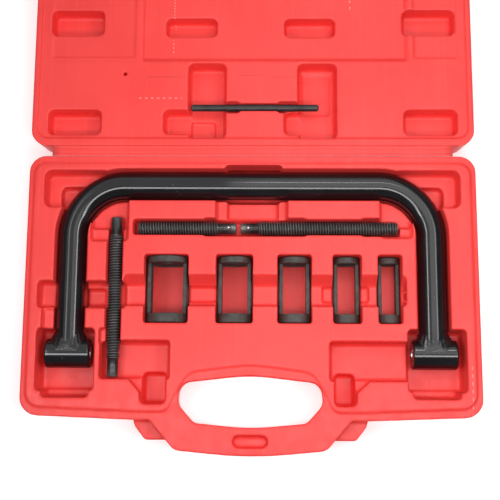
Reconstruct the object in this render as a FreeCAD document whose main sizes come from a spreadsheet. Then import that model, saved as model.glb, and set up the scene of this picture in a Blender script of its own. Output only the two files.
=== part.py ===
"""C-frame spring compressor kit, lying in its open blow-moulded case.

The case lies open on a table: the base half towards -Y, the lid half towards +Y, both with their
tool side up.  The origin is on the table, below the middle of the hinge line; +Z is up.
All sizes are in millimetres.  The driving sizes are the cells of the spreadsheet "Sizes".
"""

import FreeCAD, Part
import math
import os
import Sketcher
from FreeCAD import Placement, Rotation, Vector

X_AXIS = Vector(1, 0, 0)
Y_AXIS = Vector(0, 1, 0)
Z_AXIS = Vector(0, 0, 1)

# ---------------------------------------------------------------- driving sizes

SIZES = [
    # case
    ("case_width", 316.0, "outer width of both halves"),
    ("case_depth", 185.0, "hinge side to front edge of a half"),
    ("half_height", 32.5, "height of a half up to its flange"),
    ("hinge_web_width", 7.4, "width of the moulded web between the halves"),
    ("hinge_web_thickness", 0.8, "thickness of the web"),
    ("parting_gap", 0.3, "gap left between the flanges of the closed case"),
    ("outer_draft", 2.4, "how far the outer walls lean in at the bottom"),
    ("rim_side", 4.0, "flat flange beside the raised deck"),
    ("rim_front", 5.5, "flat flange in front of and behind the raised deck"),
    ("deck_rise", 1.1, "deck of the base above its flange"),
    ("lid_panel_drop", 1.6, "lid panel below its flange"),
    ("wall_draft", 0.9, "how far pocket walls lean in at the floor"),
    ("floor_round", 1.6, "chamfer at a pocket's floor"),
    ("lip_round", 0.7, "chamfer at a pocket's upper edge"),
    ("snug_draft", 0.3, "how far the walls of a close-fitting pocket lean in"),
    ("snug_floor_round", 0.4, "chamfer at the floor of a close-fitting pocket"),
    ("handle_reach", 28.4, "handle beyond the front edge"),
    ("handle_width", 134.0, "width of the handle where it leaves the case"),
    ("handle_hole_width", 98.6, "width of the hand hole"),
    ("handle_hole_depth", 35.6, "front-to-back size of the hand hole"),
    # C frame
    ("frame_span", 253.8, "distance between the two leg axes"),
    ("frame_reach", 119.4, "back bar axis to boss axis"),
    ("frame_setback", 23.9, "hinge line to back bar axis"),
    ("frame_axis_height", 23.0, "tube axis above the table"),
    ("tube_diameter", 19.5, "outside of the bent tube"),
    ("tube_wall", 2.6, "wall of the bent tube"),
    ("bend_radius", 37.0, "tube axis radius in the bends"),
    ("boss_diameter", 20.6, "outside of the cross bosses"),
    ("boss_length", 31.0, "length of the cross bosses"),
    ("boss_chamfer", 1.4, "chamfer on the boss ends"),
    ("weld_leg", 3.6, "leg of the weld bead"),
    ("boss_room_inside", 3.8, "room for a finger at a boss's inner end"),
    ("boss_room_outside", 5.4, "room for a finger at a boss's outer end"),
    ("bed_clearance", 0.3, "gap under the frame and the cups"),
    ("channel_clearance", 1.0, "play of the frame at the channel's outer wall"),
    ("channel_inner_clearance", 2.4, "play of the frame at the channel's inner wall"),
    # threaded spindles
    ("thread_diameter", 9.9, "outside of the M10 thread"),
    ("tapped_bore", 8.5, "bore of an M10 tapped hole"),
    ("spindle_setback", 55.2, "hinge line to the axis of the two cross spindles"),
    ("spindle_clearance", 0.6, "play of a spindle in its groove"),
    ("spindle_bed_height", 21.6, "floor of the spindle grooves above the table"),
    ("short_spindle_end", 10.7, "middle of the case to the short spindle's spigot"),
    ("medium_spindle_end", 7.5, "middle of the case to the medium spindle's spigot"),
    ("long_spindle_offset", 95.4, "middle of the case to the long spindle's axis"),
    ("long_spindle_setback", 159.6, "hinge line to the long spindle's front end"),
    ("detent_depth", 2.0, "bottom of a detent's seat below the spindle's axis"),
    ("short_spindle_length", 69.0, "short spindle"),
    ("medium_spindle_length", 110.0, "medium spindle"),
    ("long_spindle_length", 112.0, "long spindle"),
    ("plain_end_diameter", 7.6, "plain spigot of a spindle"),
    ("plain_end_length", 12.6, "length of the plain spigot"),
    ("cross_hole", 5.5, "tommy bar hole through a spindle"),
    ("detent_ball", 2.4, "ball in a plain spigot"),
    # spring cups
    ("cup_length", 46.6, "length of every spring cup"),
    ("cup_wall", 2.2, "wall of a spring cup"),
    ("cup_setback", 98.6, "hinge line to the middle of the cups"),
    ("cup_axis_height", 19.2, "cup axis above the table"),
    ("cup_clearance", 0.4, "play of a cup at the sides of its pocket"),
    ("cup_end_clearance", 0.6, "play of a cup at the ends of its pocket"),
    ("cup_seat_ring", 6.4, "ring at the open end of a cup"),
    ("cup_head_ring", 4.6, "closed end of a cup"),
    ("cup_head_hole", 7.9, "spigot hole in the closed end"),
    # tommy bar
    ("bar_diameter", 5.0, "tommy bar"),
    ("bar_length", 92.0, "tommy bar"),
    ("bar_setback", 33.0, "hinge line to the tommy bar in the lid"),
    ("bar_offset", 1.8, "middle of the case to the middle of the tommy bar"),
    ("bar_clearance", 0.35, "play of the tommy bar in its groove"),
]

CUPS = {"adaptor_30": (30.0, -59.0), "adaptor_25": (25.0, -11.6), "adaptor_23": (23.0, 30.3),
        "adaptor_19": (19.0, 66.8), "adaptor_16": (16.0, 96.4)}

doc = FreeCAD.newDocument("SpringCompressor")
sheet = doc.addObject("Spreadsheet::Sheet", "Sizes")
rows = SIZES + [(name + "_diameter", cup[0], "cup outside") for name, cup in CUPS.items()]
for row, (alias, value, note) in enumerate(rows, start=1):
    sheet.set("A%d" % row, note)
    sheet.set("B%d" % row, str(value))
    sheet.setAlias("B%d" % row, alias)
doc.recompute()


def size(alias):
    """A driving size, read from the sheet."""
    return float(sheet.get(alias))


# Sizes that follow from the driving ones.
RIM = size("half_height")
DECK = RIM + size("deck_rise")
PANEL = RIM - size("lid_panel_drop")
BACK = size("hinge_web_width") / 2
HALF_WIDTH = size("case_width") / 2
FRONT = BACK + size("case_depth")
LEG = size("frame_span") / 2
BOSS_Y = -(size("frame_setback") + size("frame_reach"))
TUBE_R = size("tube_diameter") / 2
BOSS_R = size("boss_diameter") / 2
THREAD_R = size("thread_diameter") / 2
SPINDLE_FLOOR = size("spindle_bed_height")
SPINDLE_Z = SPINDLE_FLOOR + size("bed_clearance") + THREAD_R
SPINDLE_Y = -size("spindle_setback")
LONG_X = -size("long_spindle_offset")
LONG_FRONT = -size("long_spindle_setback")
SHORT_END = -size("short_spindle_end")
MEDIUM_END = -size("medium_spindle_end")
CUP_Y = -size("cup_setback")
BACK_BAR_Y = -size("frame_setback")
BAR_X = size("bar_offset")
BAR_Y = size("bar_setback")
BAR_Z = PANEL - size("bar_diameter") / 2 - 0.4


# ---------------------------------------------------------------- outlines and drafted prisms

def inset(points, distance):
    """Points (x, y, corner radius) of a closed counter-clockwise outline, moved inwards."""
    moved = []
    count = len(points)
    for i in range(count):
        before = Vector(points[i - 1][0], points[i - 1][1], 0)
        here = Vector(points[i][0], points[i][1], 0)
        after = Vector(points[(i + 1) % count][0], points[(i + 1) % count][1], 0)
        along_in = (here - before).normalize()
        along_out = (after - here).normalize()
        turn = along_in.cross(along_out).z
        normal_in = Vector(-along_in.y, along_in.x, 0)
        normal_out = Vector(-along_out.y, along_out.x, 0)
        corner = here + (normal_in + normal_out) * (distance / (1 + normal_in.dot(normal_out)))
        radius = points[i][2] - distance if turn > 0 else points[i][2] + distance
        moved.append((corner.x, corner.y, max(radius, 0.4)))
    return moved


def outline(points, height):
    """A closed wire at a height, with every corner rounded by its own radius."""
    count = len(points)
    starts = []
    ends = []
    middles = []
    for i in range(count):
        before = Vector(points[i - 1][0], points[i - 1][1], height)
        here = Vector(points[i][0], points[i][1], height)
        after = Vector(points[(i + 1) % count][0], points[(i + 1) % count][1], height)
        towards_before = (before - here).normalize()
        towards_after = (after - here).normalize()
        half_angle = towards_before.getAngle(towards_after) / 2
        reach = points[i][2] / math.tan(half_angle)
        bisector = (towards_before + towards_after).normalize()
        depth = points[i][2] / math.sin(half_angle) - points[i][2]
        starts.append(here + towards_before * reach)
        ends.append(here + towards_after * reach)
        middles.append(here + bisector * depth)
    edges = []
    for i in range(count):
        edges.append(Part.Arc(starts[i], middles[i], ends[i]).toShape())
        edges.append(Part.LineSegment(ends[i], starts[(i + 1) % count]).toShape())
    return Part.Wire(edges)


def stack(sections):
    """A closed solid through (points, height) sections with the same number of corners."""
    return Part.makeLoft([outline(points, height) for points, height in sections], True, True)


def rectangle(x_low, x_high, y_low, y_high, radius):
    """Counter-clockwise rectangle with equal corner radii."""
    return [(x_low, y_low, radius), (x_high, y_low, radius), (x_high, y_high, radius),
            (x_low, y_high, radius)]


def mirrored(half):
    """Outline symmetric about X = 0 from its right half, listed from front to back."""
    left = [(-x, y, radius) for x, y, radius in reversed(half) if x > 0]
    return half + left


def pocket(points, floor, top, slope=0.0, snug=False):
    """Tool that cuts a pocket: drafted walls, chamfered floor and lip.

    slope moves the back wall's foot forwards, for a scooped finger recess; snug is for a close fit.
    """
    width = min(max(x for x, _, _ in points) - min(x for x, _, _ in points),
                max(y for _, y, _ in points) - min(y for _, y, _ in points))
    slim = min(1.0, width / 16)
    draft = size("snug_draft") if snug else size("wall_draft") * slim
    foot = size("snug_floor_round") if snug else size("floor_round") * slim
    lip = size("snug_draft") if snug else size("lip_round")
    overshoot = 1.0
    low = inset(points, draft)
    bottom = inset(points, draft + foot)
    if slope:
        back = max(y for _, y, _ in points)
        low = [(x, y - slope if y > back - 6 else y, radius) for x, y, radius in low]
        bottom = [(x, y - slope if y > back - 6 else y, radius) for x, y, radius in bottom]
    sections = [(bottom, floor), (low, floor + foot), (points, top - lip), (inset(points, -lip), top),
                (inset(points, -lip), top + overshoot)]
    return stack(sections)


def prism(points, low, high):
    """Straight prism between two heights."""
    return Part.Face(outline(points, low)).extrude(Vector(0, 0, high - low))


# ---------------------------------------------------------------- case halves

def half_outline():
    """Outer edge of a half without its handle, base side; the front edge bows out towards the handle."""
    bow = 3.0
    return mirrored([(0.6 * size("handle_width"), -FRONT, 20), (HALF_WIDTH, -FRONT + bow, 13),
                     (HALF_WIDTH, -BACK, 12)])


def bowed_handle():
    """Handle outline with a bowed front edge, its back under the case's front wall."""
    root = size("handle_width") / 2
    tip = FRONT + size("handle_reach") - 3.6
    return ([(0, -tip, 260), (root - 15.4, -tip + 4.8, 9), (root + 1.6, -FRONT, 9),
             (root + 6.0, -FRONT + 8, 3), (-root - 6.0, -FRONT + 8, 3), (-root - 1.6, -FRONT, 9),
             (-root + 15.4, -tip + 4.8, 9)])


def hand_hole():
    """Outline of the hand hole."""
    side = size("handle_hole_width") / 2
    back = -FRONT + 30.4
    front = back - size("handle_hole_depth")
    return [(0, front, 160), (side - 11, front + 3.6, 7), (side, front + 16, 8),
            (side - 1, back - 5.5, 9), (0, back, 120), (-side + 1, back - 5.5, 9),
            (-side, front + 16, 8), (-side + 11, front + 3.6, 7)]


def deck_outline():
    """Edge of the base's raised deck: the flange's width inside the case, arched around the hand hole."""
    side = HALF_WIDTH - size("rim_side")
    rim = size("rim_front")
    front = -FRONT + rim
    bow = 3.2
    arch = [(0, front + 32.2, 100), (43, front + 26.6, 15), (52.0, front + 10.6, 8), (56.5, front, 7),
            (76, front, 4)]
    right = [(side, front + bow, 10), (side, -BACK - rim, 8)]
    left = [(-x, y, radius) for x, y, radius in reversed(arch + right) if x > 0]
    return arch + right + left


def half_block():
    """Outer shape of one half, base side: tray, handle with hand hole, latch shoulders."""
    draft = size("outer_draft")
    foot = 3.0
    body = half_outline()
    tray = stack([(inset(body, draft + foot), 0), (inset(body, draft), foot), (body, RIM)])
    grip = bowed_handle()
    grip_low = 8.0
    handle = stack([(inset(grip, foot), grip_low), (inset(grip, 0.6), grip_low + foot), (grip, RIM)])
    root = size("handle_width") / 2
    block = tray.fuse(handle)
    shoulder = [(root - 12, -FRONT - 13.4, 1), (root + 5.2, -FRONT - 13.4, 3),
                (root + 12.4, -FRONT - 4.2, 1.5), (root + 14.6, -FRONT + 3, 0.6),
                (root - 12, -FRONT + 3, 0.6)]
    shoulder_low = 12.0
    shoulder_high = 24.0
    right = prism(shoulder, shoulder_low, shoulder_high)
    left = right.mirror(Vector(0, 0, 0), X_AXIS)
    block = block.fuse([right, left])
    hole = hand_hole()
    round_over = 1.6
    cutter = stack([(inset(hole, -2 * round_over), -1), (inset(hole, -2 * round_over), grip_low + 1.4),
                    (inset(hole, -1.0), grip_low + 4), (hole, RIM - round_over),
                    (inset(hole, -round_over), RIM + 3)])
    block = block.cut(cutter)
    field = rectangle(-105, 105, -135, -45, 8)
    return block.cut(stack([(inset(field, -0.6), -1), (field, 0.8)]))


def snap_oval(grow):
    """Oval outline of the snap in the handle, grown by a clearance."""
    return rectangle(-11.4 - grow, 11.4 + grow, -FRONT - 17.6 - grow, -FRONT - 10.4 + grow,
                     3.5 + grow)


def base_recesses():
    """Finger room round the tools: name, then x from, x to, y from, y to, corner radius, floor, top."""
    bed = size("frame_axis_height")
    boss_floor = bed - BOSS_R - size("bed_clearance")
    boss_in = LEG - size("boss_length") / 2 - size("boss_room_inside")
    boss_out = LEG + size("boss_length") / 2 + size("boss_room_outside")
    slot_front = BACK_BAR_Y - TUBE_R - size("channel_inner_clearance") - 1
    slot_back = BACK_BAR_Y + TUBE_R + size("channel_clearance") + 2.6
    leg_well = bed - TUBE_R + 1.2
    rows = {
        "slot_behind_back_bar": (-19, 22, slot_front, slot_back, 3, 15, DECK),
        "ledge_left": (-LEG + 14, LONG_X + 9, SPINDLE_Y - 10.3, BACK_BAR_Y - 9, 3, 29, DECK),
        "well_left": (-LEG + 14, LONG_X + 9, SPINDLE_Y - 1.4, BACK_BAR_Y - 9, 3, 23.5, 31),
        "ledge_right": (90, LEG - 14, SPINDLE_Y - 7.8, BACK_BAR_Y - 9, 3, 29, DECK),
        "well_right": (90, LEG - 14, SPINDLE_Y - 0.6, BACK_BAR_Y - 9, 3, 23.5, 31),
        "centre": (-25.3, 25.6, SPINDLE_Y + 3.6, BACK_BAR_Y - 8, 2, 26.4, DECK),
        "centre_well": (-17.5, 19.5, SPINDLE_Y + 5.6, BACK_BAR_Y - 10, 1.5, 20.4, 29),
        "band_left": (-LEG - 21.5, LONG_X + 9, CUP_Y - 13.9, CUP_Y + 5.1, 3, 22, DECK),
        "band_left_well": (-LEG - 11, -LEG + 25.3, CUP_Y - 12, CUP_Y + 1.2, 2.5, leg_well + 1.6, 27),
        "band_well_a": (-50, -8, CUP_Y - 9, CUP_Y + 3.2, 2.5, 19.5, 27),
        "band_well_b": (49, 83, CUP_Y - 9, CUP_Y + 3.2, 2.5, 19.5, 27),
        "step_beside_leg": (-LEG - 18.1, -LEG + 10.9, BOSS_Y + 12, CUP_Y - 13, 2, 28.4, DECK),
        "step_beside_long_spindle": (LONG_X - 9.2, LONG_X - 2, BOSS_Y + 6.6, BOSS_Y + 17, 1, 27.4, DECK),
        "front_left": (LONG_X - 8.4, -55.6, BOSS_Y - 17.7, BOSS_Y + 8.6, 2, 20.2, DECK),
        "front_right": (54.2, boss_in + 3, BOSS_Y - 18.6, BOSS_Y + 8.4, 2, 20.2, DECK),
        "front_left_deep": (-75.7, -57.8, BOSS_Y - 34.6, BOSS_Y - 12.2, 4, 11, DECK),
        "front_right_deep": (57.2, 72.6, BOSS_Y - 35.6, BOSS_Y - 12.8, 4, 11, DECK),
    }
    for name, side in (("left", -1), ("right", 1)):
        for suffix, near, far, y_low, y_high, radius, floor, top in (
                ("corner", 100, LEG + 19.6, BACK_BAR_Y - 17.2, BACK_BAR_Y + 9.4, 5, 21, DECK),
                ("corner_well", 102, LEG + 10.6, BACK_BAR_Y - 16.4, BACK_BAR_Y + 0.6, 5, 14.5, 30),
                ("boss", boss_in, boss_out, BOSS_Y - 26, BOSS_Y + 17, 3, boss_floor, DECK),
                ("boss_well", LEG - 16, LEG + 16.6, BOSS_Y - 30.4, BOSS_Y - 13.6, 3, boss_floor + 1.6, DECK)):
            low, high = sorted((side * near, side * far))
            rows[name + "_" + suffix] = (low, high, y_low, y_high, radius, floor, top)
    return rows


def frame_channel():
    """Channel that the C frame lies in."""
    inner_play = size("channel_inner_clearance")
    outer = LEG + TUBE_R + size("channel_clearance")
    inner = LEG - TUBE_R - inner_play
    bar_back = BACK_BAR_Y + TUBE_R + size("channel_clearance")
    bar_front = BACK_BAR_Y - TUBE_R - inner_play
    bend_out = size("bend_radius") + TUBE_R + size("channel_clearance")
    bend_in = size("bend_radius") - TUBE_R - inner_play
    leg_end = BOSS_Y - 1
    outer_edge = [(-outer, leg_end, 1), (-inner, leg_end, 1), (-inner, bar_front, bend_in),
                  (inner, bar_front, bend_in), (inner, leg_end, 1), (outer, leg_end, 1),
                  (outer, bar_back, bend_out), (-outer, bar_back, bend_out)]
    return pocket(outer_edge, size("frame_axis_height") - TUBE_R - size("bed_clearance"), DECK)


def spindle_grooves():
    """Grooves of the three spindles, with the wider stretches where fingers reach in."""
    half = THREAD_R + size("spindle_clearance")
    start = SHORT_END - size("short_spindle_length") - 3.4
    stop = MEDIUM_END + size("medium_spindle_length") + 1.6
    grooves = [pocket(rectangle(start, stop, SPINDLE_Y - half, SPINDLE_Y + half, 1.6), SPINDLE_FLOOR, DECK)]
    for x_low, x_high in ((-34, 39), (76.7, stop + 0.6)):
        grooves.append(pocket(rectangle(x_low, x_high, SPINDLE_Y - half - 1, SPINDLE_Y + half + 1, 2),
                              SPINDLE_FLOOR + 1.2, DECK))
    grooves.append(pocket(rectangle(LONG_X - half, LONG_X + half, LONG_FRONT - 1.2,
                                    LONG_FRONT + size("long_spindle_length") + 1.4, 1.6),
                          SPINDLE_FLOOR, DECK))
    return grooves


def cup_pockets():
    """Close-fitting pocket of each cup and the scooped band that runs across them."""
    half_length = size("cup_length") / 2 + size("cup_end_clearance")
    tools = []
    for name, (_, centre) in CUPS.items():
        radius = size(name + "_diameter") / 2
        half = radius + size("cup_clearance")
        floor = size("cup_axis_height") - radius - size("bed_clearance")
        tools.append(pocket(rectangle(centre - half, centre + half, CUP_Y - half_length, CUP_Y + half_length, 1.2),
                            floor, DECK, snug=True))
    tools.append(pocket(rectangle(LONG_X + 7, 107.5, CUP_Y - 12.1, CUP_Y + 9.6, 3), 23, DECK, slope=4.7))
    return tools


def base_pockets():
    """Every tool that is cut into the base's deck."""
    tools = [frame_channel()]
    for x_low, x_high, y_low, y_high, radius, floor, top in base_recesses().values():
        tools.append(pocket(rectangle(x_low, x_high, y_low, y_high, radius), floor, top))
    tools += spindle_grooves() + cup_pockets()
    facet_height = 23.5
    for facet in ([(-74, BOSS_Y - 28.8, 0.6), (-74, BOSS_Y - 16, 0.6), (-85.5, BOSS_Y - 16, 0.6)],
                  [(71, BOSS_Y - 28.2, 0.6), (84.5, BOSS_Y - 16, 0.6), (71, BOSS_Y - 16, 0.6)]):
        tools.append(prism(facet, facet_height, DECK + 2))
    tools.append(pocket(snap_oval(0.4), RIM - 5.2, RIM))
    return tools


def carved(shape, tools):
    """Shape less every tool, one after the other."""
    for tool in tools:
        shape = shape.cut(tool)
    return shape.removeSplitter()


def base_shape():
    """Base half: outer block with its raised deck, less all pockets."""
    deck = stack([(inset(deck_outline(), 0.3), RIM - 1), (inset(deck_outline(), 0.6), DECK)])
    return carved(half_block().fuse(deck), base_pockets())


def lid_recesses():
    """Panel fields and pockets of the lid: name, then x from, x to, y from, y to, corner radius, floor, top."""
    shallow = PANEL - 12.5
    finger = BAR_Y - 23.2
    rows = {
        "middle_field": (-80.8, 112.6, 67.4, 141, 3, PANEL - 2.4, PANEL),
        "left_field": (-147.6, -83.2, 68.2, 172, 3, PANEL - 0.9, PANEL),
        "right_field": (114.6, 149.6, 67.4, 172, 3, PANEL - 0.9, PANEL),
        "middle_left": (-63.2, -25.8, 86.6, 101.4, 4, shallow - 1, PANEL),
        "middle_right": (23.1, 60.0, 86.4, 101.0, 4, shallow - 1, PANEL),
        "bar_left": (-46.0, -18.9, finger + 0.2, BAR_Y + 32.8, 4, shallow, PANEL),
        "bar_left_wing": (-63.7, -26.6, finger + 3.0, BAR_Y - 2.1, 4, shallow + 0.6, PANEL),
        "bar_left_deep": (-45.2, -25.4, finger + 1.0, BAR_Y - 6.6, 3, shallow - 2, PANEL - 8),
        "bar_right": (32.8, 60.6, finger - 0.2, BAR_Y + 32.5, 4, shallow, PANEL),
        "bar_right_wing": (22.9, 59.6, finger + 2.6, BAR_Y - 2.2, 4, shallow + 0.6, PANEL),
        "bar_right_deep": (34.4, 58.2, BAR_Y - 4.6, BAR_Y + 30.6, 3, shallow - 1.2, PANEL - 8),
    }
    for name, side in (("left", -1), ("right", 1)):
        low, high = sorted((side * 108.6, side * 146.5))
        rows[name + "_hinge"] = (low, high, 12.3, 30.8, 4, shallow, PANEL)
        rows[name + "_middle"] = (low, high, 87.2, 106.8, 4, shallow, PANEL)
        rows[name + "_front"] = (low, high, 146, 164, 4, shallow, PANEL)
    return rows


def lid_pockets():
    """Every tool that is cut into the lid's panel."""
    tools = []
    for x_low, x_high, y_low, y_high, radius, floor, top in lid_recesses().values():
        tools.append(pocket(rectangle(x_low, x_high, y_low, y_high, radius), floor, top))
    reach = size("bar_length") / 2 + 1.2
    half_bar = size("bar_diameter") / 2 + size("bar_clearance")
    groove_floor = BAR_Z - size("bar_diameter") / 2 - size("bed_clearance")
    groove = rectangle(BAR_X - reach, BAR_X + reach, BAR_Y - half_bar, BAR_Y + half_bar, 1.2)
    tools.append(pocket(groove, groove_floor, PANEL + 0.4))
    for x_low, x_high in ((-20, -8.6), (18, 33.4)):
        tools.append(pocket(rectangle(x_low, x_high, BAR_Y - half_bar - 1.4, BAR_Y + half_bar + 1.4, 2.4),
                            groove_floor + 0.8, PANEL))
    vent = Part.makeCylinder(1.4, 9, Vector(-92.1, 58.0, PANEL - 8))
    tools.append(vent)
    return tools


def lid_shape():
    """Lid half: mirrored block with a sunk panel, less its pockets, plus the snap."""
    shape = half_block().mirror(Vector(0, 0, 0), Y_AXIS)
    sunk = stack([(inset(deck_outline(), 0.2), PANEL), (inset(deck_outline(), -0.1), RIM + 1)])
    snap = stack([(snap_oval(0), RIM - 1), (snap_oval(0), RIM + 2.4), (inset(snap_oval(0), 0.8), RIM + 3.6)])
    shape = carved(shape, [sunk.mirror(Vector(0, 0, 0), Y_AXIS)] + lid_pockets())
    return shape.fuse(snap.mirror(Vector(0, 0, 0), Y_AXIS)).removeSplitter()


def feature(label, shape):
    """Sub-part whose shape is worked out above."""
    item = doc.addObject("Part::Feature", label)
    item.Shape = shape
    item.Label = label
    return item


parts = [feature("case_base", base_shape()), feature("case_lid", lid_shape())]

# ---------------------------------------------------------------- hinge web

for label, start in (("hinge_web_base", "-Sizes.hinge_web_width / 2"), ("hinge_web_lid", "0.1")):
    web = doc.addObject("Part::Box", label)
    web.setExpression("Length", "Sizes.case_width - 32")
    web.setExpression("Width", "Sizes.hinge_web_width / 2 - 0.1")
    web.setExpression("Height", "Sizes.hinge_web_thickness")
    web.setExpression("Placement.Base.x", "-(Sizes.case_width - 32) / 2")
    web.setExpression("Placement.Base.y", start)
    web.setExpression("Placement.Base.z", "Sizes.half_height - Sizes.hinge_web_thickness")
    parts.append(web)


# ---------------------------------------------------------------- helpers for turned and bored pieces

def new_body(label):
    """Empty PartDesign body that is a sub-part."""
    body = doc.addObject("PartDesign::Body", label)
    body.Label = label
    return body


def plane(body, role):
    """One of a body's own origin planes or axes."""
    for item in body.Origin.OriginFeatures:
        if item.Role == role:
            return item
    raise ValueError(role)


def new_sketch(body, name, role, offset=None):
    """Sketch on one of the body's origin planes."""
    sketch = body.newObject("Sketcher::SketchObject", name)
    sketch.AttachmentSupport = [(plane(body, role), "")]
    sketch.MapMode = "FlatFace"
    if offset is not None:
        sketch.AttachmentOffset = Placement(offset, Rotation())
    return sketch


def add_circle(sketch, expression):
    """Circle about the sketch's origin whose radius follows the sheet."""
    index = sketch.addGeometry(Part.Circle(Vector(0, 0, 0), Z_AXIS, 5.0), False)
    sketch.addConstraint(Sketcher.Constraint("Coincident", index, 3, -1, 1))
    radius = sketch.addConstraint(Sketcher.Constraint("Radius", index, 5.0))
    sketch.setExpression("Constraints[%d]" % radius, expression)


def add_polygon(sketch, points):
    """Closed polygon through (x, y) points."""
    count = len(points)
    for i in range(count):
        start = Vector(points[i][0], points[i][1], 0)
        stop = Vector(points[(i + 1) % count][0], points[(i + 1) % count][1], 0)
        sketch.addGeometry(Part.LineSegment(start, stop), False)


def cylinder(name, radius, length, x="0", y="0", z="0", direction=Z_AXIS):
    """Part::Cylinder whose radius, length and place follow the sheet."""
    item = doc.addObject("Part::Cylinder", name)
    item.Placement.Rotation = Rotation(Z_AXIS, direction)
    item.setExpression("Radius", radius)
    item.setExpression("Height", length)
    item.setExpression("Placement.Base.x", x)
    item.setExpression("Placement.Base.y", y)
    item.setExpression("Placement.Base.z", z)
    return item


def cut(label, base, tools):
    """Base less every tool, as a chain of Part::Cut objects; the last one carries the label."""
    for index, tool in enumerate(tools):
        result = doc.addObject("Part::Cut", "%s_cut_%d" % (label, index))
        result.Base = base
        result.Tool = tool
        base = result
    base.Label = label
    return base


# ---------------------------------------------------------------- C frame

def frame_tube():
    """Tube bent to a C, its ends coped to the cross bosses."""
    body = new_body("frame_pipe")
    bar = BACK_BAR_Y
    bend = size("bend_radius")
    mid = bend * (1 - math.sqrt(0.5))
    path = new_sketch(body, "frame_path", "XY_Plane")
    path.addGeometry(Part.LineSegment(Vector(-LEG, BOSS_Y, 0), Vector(-LEG, bar - bend, 0)), False)
    path.addGeometry(Part.Arc(Vector(-LEG, bar - bend, 0), Vector(-LEG + mid, bar - mid, 0),
                              Vector(-LEG + bend, bar, 0)), False)
    path.addGeometry(Part.LineSegment(Vector(-LEG + bend, bar, 0), Vector(LEG - bend, bar, 0)), False)
    path.addGeometry(Part.Arc(Vector(LEG - bend, bar, 0), Vector(LEG - mid, bar - mid, 0),
                              Vector(LEG, bar - bend, 0)), False)
    path.addGeometry(Part.LineSegment(Vector(LEG, bar - bend, 0), Vector(LEG, BOSS_Y, 0)), False)
    section = new_sketch(body, "frame_section", "XZ_Plane", Vector(-LEG, 0, -BOSS_Y))
    add_circle(section, "Sizes.tube_diameter / 2")
    add_circle(section, "Sizes.tube_diameter / 2 - Sizes.tube_wall")
    pipe = body.newObject("PartDesign::AdditivePipe", "frame_bend")
    pipe.Profile = section
    pipe.Spine = path
    body.setExpression("Placement.Base.z", "Sizes.frame_axis_height")
    doc.recompute()
    copes = []
    for name, side in (("left_cope", "-"), ("right_cope", "")):
        copes.append(cylinder(name, "Sizes.boss_diameter / 2", "Sizes.boss_length",
                              side + "Sizes.frame_span / 2 - Sizes.boss_length / 2",
                              "-Sizes.frame_setback - Sizes.frame_reach", "Sizes.frame_axis_height", X_AXIS))
    return cut("frame_tube", body, copes)


def boss(label, side):
    """Cross boss with chamfered ends and a tapped bore, axis along X."""
    body = new_body(label)
    sketch = new_sketch(body, label + "_section", "YZ_Plane")
    add_circle(sketch, "Sizes.boss_diameter / 2")
    add_circle(sketch, "Sizes.tapped_bore / 2")
    pad = body.newObject("PartDesign::Pad", label + "_pad")
    pad.Profile = sketch
    pad.Midplane = True
    pad.setExpression("Length", "Sizes.boss_length")
    doc.recompute()
    rims = ["Edge%d" % (i + 1) for i, edge in enumerate(pad.Shape.Edges)
            if edge.Closed and isinstance(edge.Curve, Part.Circle)]
    bevel = body.newObject("PartDesign::Chamfer", label + "_bevel")
    bevel.Base = (pad, rims)
    bevel.setExpression("Size", "Sizes.boss_chamfer")
    body.setExpression("Placement.Base.x", "%s * Sizes.frame_span / 2" % side)
    body.setExpression("Placement.Base.y", "-Sizes.frame_setback - Sizes.frame_reach")
    body.setExpression("Placement.Base.z", "Sizes.frame_axis_height")
    return body


def weld(label, side):
    """Weld bead where a leg meets its boss: a flared collar, no thicker than the boss."""
    leg = size("weld_leg")
    height = size("frame_axis_height")
    centre = Vector(side * LEG, BOSS_Y, height)
    seat = BOSS_R - 3.4
    flare = Part.makeCone(TUBE_R + leg, TUBE_R + 0.3, leg + 3.4, centre + Y_AXIS * seat, Y_AXIS)
    slab_half = BOSS_R - 0.1
    slab = Part.makeBox(60, 40, 2 * slab_half, centre + Vector(-30, 0, -slab_half))
    core = Part.makeCylinder(TUBE_R, 40, centre, Y_AXIS)
    cross = Part.makeCylinder(BOSS_R, 60, centre - X_AXIS * 30, X_AXIS)
    return feature(label, flare.common(slab).cut(core).cut(cross))


parts.append(frame_tube())
parts.append(boss("left_boss", -1))
parts.append(boss("right_boss", 1))
parts.append(weld("left_weld", -1))
parts.append(weld("right_weld", 1))


# ---------------------------------------------------------------- spindles

def turned(label, profile, placement):
    """Body turned about its own X axis from (x, radius) points."""
    body = new_body(label + "_blank")
    sketch = new_sketch(body, label + "_profile", "XY_Plane")
    add_polygon(sketch, [(profile[0][0], 0)] + profile + [(profile[-1][0], 0)])
    turning = body.newObject("PartDesign::Revolution", label + "_turning")
    turning.Profile = sketch
    turning.ReferenceAxis = (plane(body, "X_Axis"), [""])
    turning.Angle = 360
    body.Placement = placement
    doc.recompute()
    return body


def spindle_profile(length, spigots):
    """Threaded rod from x = 0 to length; spigots says which ends (start, stop) are plain."""
    bevel = 1.0
    spigot_r = size("plain_end_diameter") / 2
    spigot = size("plain_end_length")
    start, stop = spigots
    points = []
    if start:
        points += [(0, spigot_r - 0.5), (0.5, spigot_r), (spigot, spigot_r), (spigot, THREAD_R - bevel),
                   (spigot + bevel, THREAD_R)]
    else:
        points += [(0, THREAD_R - bevel), (bevel, THREAD_R)]
    if stop:
        points += [(length - spigot - bevel, THREAD_R), (length - spigot, THREAD_R - bevel),
                   (length - spigot, spigot_r), (length - 0.5, spigot_r), (length, spigot_r - 0.5)]
    else:
        points += [(length - bevel, THREAD_R), (length, THREAD_R - bevel)]
    return points


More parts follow.
